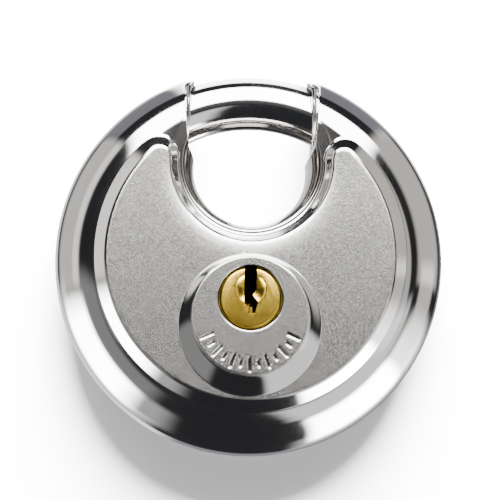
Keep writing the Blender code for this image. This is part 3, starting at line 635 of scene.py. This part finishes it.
class Nodes:
    """A material's node tree with short calls for the nodes used here."""

    def __init__(self, name, colour, roughness, metallic=1.0):
        self.material = bpy.data.materials.new(name)
        self.material.use_nodes = True
        self.tree = self.material.node_tree
        self.shader = self.tree.nodes["Principled BSDF"]
        self.shader.inputs["Base Color"].default_value = (*colour, 1.0)
        self.shader.inputs["Roughness"].default_value = roughness
        self.shader.inputs["Metallic"].default_value = metallic
        self.place = self.node("ShaderNodeTexCoord").outputs["Object"]

    def node(self, kind, **settings):
        made = self.tree.nodes.new(kind)
        for key, value in settings.items():
            setattr(made, key, value)
        return made

    def link(self, source, target):
        self.tree.links.new(source, target)

    def noise(self, scale, detail=3.0, stretch=None, roughness=0.5):
        """Noise with about so many cells per metre; stretch multiplies the scale per axis."""
        made = self.node("ShaderNodeTexNoise")
        made.inputs["Scale"].default_value = scale
        made.inputs["Detail"].default_value = detail
        made.inputs["Roughness"].default_value = roughness
        place = self.place
        if stretch:
            mapping = self.node("ShaderNodeMapping")
            mapping.inputs["Scale"].default_value = stretch
            self.link(place, mapping.inputs["Vector"])
            place = mapping.outputs["Vector"]
        self.link(place, made.inputs["Vector"])
        return made.outputs["Fac"]

    def remap(self, value, low, high, to_low, to_high):
        made = self.node("ShaderNodeMapRange")
        for key, number in zip(("From Min", "From Max", "To Min", "To Max"), (low, high, to_low, to_high)):
            made.inputs[key].default_value = number
        self.link(value, made.inputs["Value"])
        return made.outputs["Result"]

    def mix(self, share, first, second):
        """Mix two numbers or sockets by a socket's share."""
        made = self.node("ShaderNodeMix", data_type="FLOAT")
        self.link(share, made.inputs[0])
        for value, place in ((first, made.inputs[2]), (second, made.inputs[3])):
            if isinstance(value, (int, float)):
                place.default_value = value
            else:
                self.link(value, place)
        return made.outputs[0]

    def colours(self, share, first, second):
        """Mix two colours or sockets by a socket's share."""
        made = self.node("ShaderNodeMix", data_type="RGBA")
        self.link(share, made.inputs[0])
        for value, place in ((first, made.inputs[6]), (second, made.inputs[7])):
            if isinstance(value, tuple):
                place.default_value = (*value, 1.0)
            else:
                self.link(value, place)
        return made.outputs[2]

    def paint(self, colour):
        self.link(colour, self.shader.inputs["Base Color"])

    def roughen(self, roughness):
        self.link(roughness, self.shader.inputs["Roughness"])

    def bump(self, height, distance, strength=1.0, after=None):
        """Add a bump whose height runs over distance in metres."""
        made = self.node("ShaderNodeBump")
        made.inputs["Distance"].default_value = distance
        if isinstance(strength, (int, float)):
            made.inputs["Strength"].default_value = strength
        else:
            self.link(strength, made.inputs["Strength"])
        self.link(height, made.inputs["Height"])
        if after is not None:
            self.link(after, made.inputs["Normal"])
        self.link(made.outputs["Normal"], self.shader.inputs["Normal"])
        return made.outputs["Normal"]


def shell_steel():
    """Stainless: mirror polish that turns to a fine satin grain where the mask says so."""
    nodes = Nodes("shell_stainless", (0.66, 0.65, 0.64), 0.1)
    mask = nodes.node("ShaderNodeAttribute", attribute_name="satin").outputs["Fac"]
    stamped = nodes.node("ShaderNodeAttribute", attribute_name="stamped").outputs["Fac"]
    grime = nodes.node("ShaderNodeAttribute", attribute_name="grime").outputs["Fac"]
    grain = nodes.noise(5200.0, 2.0)
    blast = nodes.noise(2600.0, 3.0)
    smudge = nodes.noise(90.0, 4.0)
    scratches = nodes.noise(900.0, 3.0, (1.0, 0.06, 0.3))
    satin = nodes.remap(grain, 0.3, 0.7, 0.15, 0.21)
    polish = nodes.remap(smudge, 0.3, 0.75, 0.045, 0.10)
    nodes.roughen(nodes.mix(mask, polish, satin))
    polished = nodes.colours(nodes.remap(smudge, 0.3, 0.7, 0.0, 1.0), (0.64, 0.63, 0.62), (0.70, 0.69, 0.685))
    blasted = nodes.colours(nodes.remap(blast, 0.31, 0.69, 0.0, 1.0), (0.46, 0.45, 0.43), (0.74, 0.72, 0.69))
    steel = nodes.colours(mask, polished, blasted)
    # Painted shade: the eye's wall past its crease turns dirty brown, standing in for its dark reflection of
    # the shaded floor under the lock; only the brown tint is grime
    mottle = nodes.mix(grime, 0.0, nodes.remap(smudge, 0.3, 0.7, 0.45, 0.95))
    steel = nodes.colours(mottle, steel, (0.10, 0.08, 0.06))
    # Dark ticks, and painted shade on the wall of the plug's hole
    nodes.paint(nodes.colours(stamped, steel, (0.06, 0.055, 0.05)))
    wave = nodes.bump(smudge, 0.00002, 0.35)
    lines = nodes.bump(scratches, 0.000002, 0.3, wave)
    nodes.bump(grain, 0.000008, nodes.remap(mask, 0.0, 1.0, 0.0, 0.5), lines)
    return nodes.material


def shackle_steel():
    """Polished steel with faint clouds and fine scratches."""
    nodes = Nodes("shackle_polish", (0.74, 0.74, 0.74), 0.06)
    smudge = nodes.noise(140.0, 4.0)
    scratches = nodes.noise(700.0, 2.0, (0.2, 1.0, 1.0))
    nodes.roughen(nodes.remap(smudge, 0.3, 0.75, 0.04, 0.11))
    cloudy = nodes.remap(smudge, 0.35, 0.7, 0.0, 1.0)
    nodes.paint(nodes.colours(cloudy, (0.70, 0.70, 0.70), (0.78, 0.78, 0.775)))
    nodes.bump(scratches, 0.000002, 0.4, nodes.bump(smudge, 0.00002, 0.3))
    return nodes.material


def brass(name, grain_scale=2600.0, shaded_below=None):
    """Turned brass; below the given height, inside the keyway and down the nose's side, it is painted near
    black: painted shade.
    """
    nodes = Nodes(name, (0.60, 0.36, 0.05), 0.13)
    grain = nodes.noise(grain_scale, 3.0)
    mottle = nodes.noise(420.0, 4.0)
    colour = nodes.colours(nodes.remap(mottle, 0.3, 0.7, 0.0, 1.0), (0.64, 0.42, 0.045), (0.86, 0.59, 0.085))
    if shaded_below:
        # Painted shade: near black below the given height, in the keyway and the gap round the plug's nose
        split = nodes.node("ShaderNodeSeparateXYZ")
        nodes.link(nodes.place, split.inputs[0])
        unshaded = nodes.remap(split.outputs["Z"], shaded_below - KEYWAY_DARK_FADE * MM, shaded_below, 0.0, 1.0)
        colour = nodes.colours(unshaded, (0.012, 0.008, 0.004), colour)
    nodes.paint(colour)
    nodes.roughen(nodes.remap(grain, 0.3, 0.7, 0.16, 0.22))
    nodes.bump(grain, 0.000008, 0.4, nodes.bump(mottle, 0.00002, 0.3))
    return nodes.material


def plain_metal(name, dark, light, roughness, grain_scale, grain_depth):
    """Inner metals: mottled colour and roughness with a fine grain."""
    nodes = Nodes(name, light, roughness)
    grain = nodes.noise(grain_scale, 4.0)
    mottle = nodes.noise(grain_scale / 8, 3.0)
    nodes.paint(nodes.colours(nodes.remap(mottle, 0.3, 0.7, 0.0, 1.0), dark, light))
    nodes.roughen(nodes.remap(grain, 0.25, 0.75, roughness - 0.08, roughness + 0.1))
    nodes.bump(grain, grain_depth, 0.6)
    return nodes.material


# ---------------------------------------------------------------- studio

class Dome:
    """World light as a function of direction: a dim room with soft boxes in it."""

    def __init__(self):
        world = bpy.data.worlds.new("studio")
        bpy.context.scene.world = world
        world.use_nodes = True
        self.tree = world.node_tree
        self.tree.nodes.clear()
        split = self.tree.nodes.new("ShaderNodeSeparateXYZ")
        direction = self.tree.nodes.new("ShaderNodeTexCoord").outputs["Generated"]
        self.tree.links.new(direction, split.inputs[0])
        self.x, self.y, self.z = split.outputs
        self.height = self.math("ARCSINE", self.z)

    def math(self, operation, *values):
        made = self.tree.nodes.new("ShaderNodeMath")
        made.operation = operation
        for value, socket in zip(values, made.inputs):
            if isinstance(value, (int, float)):
                socket.default_value = value
            else:
                self.tree.links.new(value, socket)
        return made.outputs[0]

    def band(self, value, centre, half, soft):
        """1 within half of the centre, falling to 0 over soft."""
        off = self.math("ABSOLUTE", self.math("SUBTRACT", value, centre))
        made = self.tree.nodes.new("ShaderNodeMapRange")
        made.interpolation_type = "SMOOTHSTEP"
        for key, number in (("From Min", half), ("From Max", half + soft), ("To Min", 1.0), ("To Max", 0.0)):
            made.inputs[key].default_value = number
        self.tree.links.new(off, made.inputs["Value"])
        return made.outputs["Result"]

    def box(self, azimuth, elevation, half_width, half_height, soft_width, soft_height):
        """Mask of a soft box; all angles in degrees, azimuth from +X towards +Y."""
        turn = math.radians(azimuth)
        along = self.math("ADD", self.math("MULTIPLY", self.x, math.cos(turn)),
                          self.math("MULTIPLY", self.y, math.sin(turn)))
        aside = self.math("SUBTRACT", self.math("MULTIPLY", self.y, math.cos(turn)),
                          self.math("MULTIPLY", self.x, math.sin(turn)))
        around = self.math("ARCTAN2", aside, along)
        wide = self.band(around, 0.0, *map(math.radians, (half_width, soft_width)))
        tall = self.band(self.height, *map(math.radians, (elevation, half_height, soft_height)))
        return self.math("MULTIPLY", wide, tall)

    def cap(self, azimuth, elevation, radius, soft):
        """Mask of a round light about one direction, all angles in degrees."""
        turn, rise = math.radians(azimuth), math.radians(elevation)
        along = self.math("MULTIPLY", self.x, math.cos(turn) * math.cos(rise))
        along = self.math("ADD", along, self.math("MULTIPLY", self.y, math.sin(turn) * math.cos(rise)))
        along = self.math("ADD", along, self.math("MULTIPLY", self.z, math.sin(rise)))
        return self.band(self.math("ARCCOSINE", along), 0.0, math.radians(radius), math.radians(soft))

    def finish(self, parts):
        """Sum of (mask, strength, tint); the camera itself sees a plain backdrop."""
        total = None
        for mask, strength, tint in parts:
            made = self.tree.nodes.new("ShaderNodeVectorMath")
            made.operation = "SCALE"
            made.inputs[0].default_value = [strength * part for part in tint]
            if isinstance(mask, (int, float)):
                made.inputs["Scale"].default_value = mask
            else:
                self.tree.links.new(mask, made.inputs["Scale"])
            value = made.outputs[0]
            if total is not None:
                made = self.tree.nodes.new("ShaderNodeVectorMath")
                made.operation = "ADD"
                self.tree.links.new(total, made.inputs[0])
                self.tree.links.new(value, made.inputs[1])
                value = made.outputs[0]
            total = value
        light = self.tree.nodes.new("ShaderNodeBackground")
        self.tree.links.new(total, light.inputs["Color"])
        backdrop = self.tree.nodes.new("ShaderNodeBackground")
        backdrop.inputs["Color"].default_value = (BACKDROP, BACKDROP, BACKDROP, 1.0)
        seen = self.tree.nodes.new("ShaderNodeLightPath").outputs["Is Camera Ray"]
        mixed = self.tree.nodes.new("ShaderNodeMixShader")
        output = self.tree.nodes.new("ShaderNodeOutputWorld")
        self.tree.links.new(seen, mixed.inputs[0])
        self.tree.links.new(light.outputs[0], mixed.inputs[1])
        self.tree.links.new(backdrop.outputs[0], mixed.inputs[2])
        self.tree.links.new(mixed.outputs[0], output.inputs["Surface"])


def floor_paint():
    """Bright matt sweep to the eye; the steel's reflections of it are part of the dome's lower half."""
    nodes = Nodes("studio_paint", (0.9, 0.9, 0.9), 0.9, 0.0)
    seen = nodes.node("ShaderNodeLightPath").outputs["Is Camera Ray"]
    bright = nodes.node("ShaderNodeBsdfDiffuse")
    bright.inputs["Color"].default_value = (0.12, 0.12, 0.1205, 1.0)
    clear = nodes.node("ShaderNodeBsdfTransparent")
    mixed = nodes.node("ShaderNodeMixShader")
    nodes.link(seen, mixed.inputs[0])
    nodes.link(clear.outputs[0], mixed.inputs[1])
    nodes.link(bright.outputs[0], mixed.inputs[2])
    nodes.link(mixed.outputs[0], nodes.tree.nodes["Material Output"].inputs["Surface"])
    return nodes.material


def make_floor_lamp(name, place, size, energy):
    """A soft lamp for the floor alone: the metals don't mirror it, and only the two shells block it."""
    data = bpy.data.lights.new(name, "AREA")
    data.shape = "DISK"
    data.size = size
    data.energy = energy
    lamp = bpy.data.objects.new(name, data)
    lamp.location = place
    lamp.rotation_euler = (-Vector(place)).to_track_quat("-Z", "Y").to_euler()
    lamp.visible_glossy = False
    casting = bpy.data.collections.new(name + "_shadow_casters")
    for caster in ("front_case", "back_case"):
        casting.objects.link(bpy.data.objects[caster])
    lamp.light_linking.blocker_collection = casting
    bpy.context.scene.collection.objects.link(lamp)


def make_floor():
    """A wide sweep just under the lock."""
    bm = bmesh.new()
    bmesh.ops.create_grid(bm, x_segments=1, y_segments=1, size=FLOOR_HALF_SIZE)
    mesh = bpy.data.meshes.new("studio_floor")
    bm.to_mesh(mesh)
    bm.free()
    floor = bpy.data.objects.new("studio_floor", mesh)
    floor.location.z = CAD_BOX[0][2] - FLOOR_GAP
    bpy.context.scene.collection.objects.link(floor)
    mesh.materials.append(floor_paint())


def make_studio():
    dome = Dome()
    white, warm, cool = (1.0, 0.995, 0.985), (1.0, 0.96, 0.91), (0.88, 0.9, 1.0)
    # azimuth, elevation, half width, half height, soft width, soft height; strength, tint
    boxes = [((88.0, 47.0, 38.0, 27.0, 8.0, 6.0), 20.0, white),        # big soft box beyond the shackle
             ((210.0, -11.5, 10.0, 23.5, 14.0, 20.0), 20.0, white),    # low soft box at the lower left
             ((225.0, -10.0, 12.0, 22.0, 12.0, 20.0), 0.6, white),     # its spill on the walls and table
             ((208.0, 46.0, 22.0, 18.0, 10.0, 10.0), 0.3, white),
             ((211.0, -46.0, 22.0, 10.0, 10.0, 10.0), 0.8, white),
             ((311.0, -8.0, 14.0, 26.0, 6.0, 22.0), 20.0, white),      # soft box at the lower right
             ((325.0, -8.0, 8.0, 26.0, 18.0, 22.0), 4.0, white),
             ((320.0, 57.0, 26.0, 15.0, 10.0, 10.0), 1.3, white),
             ((318.0, -46.0, 22.0, 10.0, 12.0, 12.0), 1.0, white),
             ((352.0, -7.0, 8.0, 18.0, 6.0, 12.0), 0.9, warm),         # pale walls and table at the sides
             ((161.0, -14.0, 24.0, 26.0, 4.0, 16.0), 0.9, warm),
             ((160.0, 10.0, 22.0, 6.0, 6.0, 8.0), 0.7, warm),
             ((22.0, -8.0, 23.0, 28.0, 4.0, 18.0), 0.8, warm),
             ((90.0, -40.0, 42.0, 24.0, 6.0, 6.0), 0.3, cool),
             ((90.0, -47.0, 14.0, 29.0, 8.0, 8.0), 9.0, white),        # glare on the table beyond the shackle
             ((137.0, -76.0, 100.0, 14.0, 14.0, 6.0), 1.5, white),     # floor close under the lock
             ((317.0, -76.0, 80.0, 14.0, 14.0, 6.0), 0.35, cool),
             ((20.0, 66.0, 40.0, 8.0, 10.0, 5.0), 0.7, warm),
             ((160.0, 77.0, 40.0, 3.0, 10.0, 4.0), 0.5, warm)]
    ceiling = dome.cap(110.0, 80.0, 6.0, 14.0)    # seen in the flat faces
    parts = [(dome.box(*place), strength, tint) for place, strength, tint in boxes]
    dome.finish([(AMBIENT, 1.0, cool), *parts, (ceiling, 0.09, warm)])
    make_floor_lamp("key", (0.05, 0.55, 0.6), 0.5, 1300.0)
    make_floor_lamp("fill", (-0.35, -0.45, 0.6), 0.5, 26.0)
    make_floor()


def make_camera():
    """A long lens over the lock, leaning a little towards the bottom edge and the left."""
    toward = Vector((-math.sin(LEAN_LEFT), -math.sin(LEAN_DOWN), 1.0)).normalized()
    data = bpy.data.cameras.new("camera")
    data.lens = CAMERA_DISTANCE * data.sensor_width / VIEW_WIDTH
    data.clip_start = 0.01
    camera = bpy.data.objects.new("camera", data)
    up = Vector((-math.sin(ROLL), math.cos(ROLL), 0.0))
    right = up.cross(toward).normalized()
    matrix = Matrix((right, toward.cross(right), toward)).transposed().to_4x4()
    matrix.translation = Vector(CAMERA_TARGET) + toward * CAMERA_DISTANCE
    camera.matrix_world = matrix
    bpy.context.scene.collection.objects.link(camera)
    bpy.context.scene.camera = camera


# ---------------------------------------------------------------- putting it together

def give(piece, surface, body, slot, *replaced):
    """Give a piece its material and the body it rides, and hide the CAD nodes it replaces; slot is not used.
    """
    piece.data.materials.clear()
    piece.data.materials.append(surface)
    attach(piece, body)
    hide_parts(*replaced)


def paint_inner_parts():
    """Give each CAD piece inside the body the metal of its slot."""
    metals = {slot: plain_metal(*look) for slot, look in INNER_METALS.items()}
    metals["plug_brass"] = brass("pin_brass", 4000.0)
    for part in frame["record"]["subparts"]:
        if part["material_slot"] in metals:
            materials = frame["nodes"][part["node"]].data.materials
            materials.clear()
            materials.append(metals[part["material_slot"]])


def main():
    stainless = shell_steel()
    give(make_shell("front_case", 1.0, True), stainless, "root", "shell_steel", "front_shell")
    give(make_shell("back_case", -1.0, False), stainless, "root", "shell_steel", "back_shell")
    give(make_shackle(), shackle_steel(), "shackle", "shackle_steel", "shackle")
    # the plug's brass is painted near black below this height: painted shade
    dark_below = (PLUG_FACE_Z - KEYWAY_DARK_DEPTH) * MM
    give(make_plug(), brass("plug_brass", shaded_below=dark_below), "plug", "plug_brass", "plug")
    paint_inner_parts()
    make_studio()
    make_camera()


main()
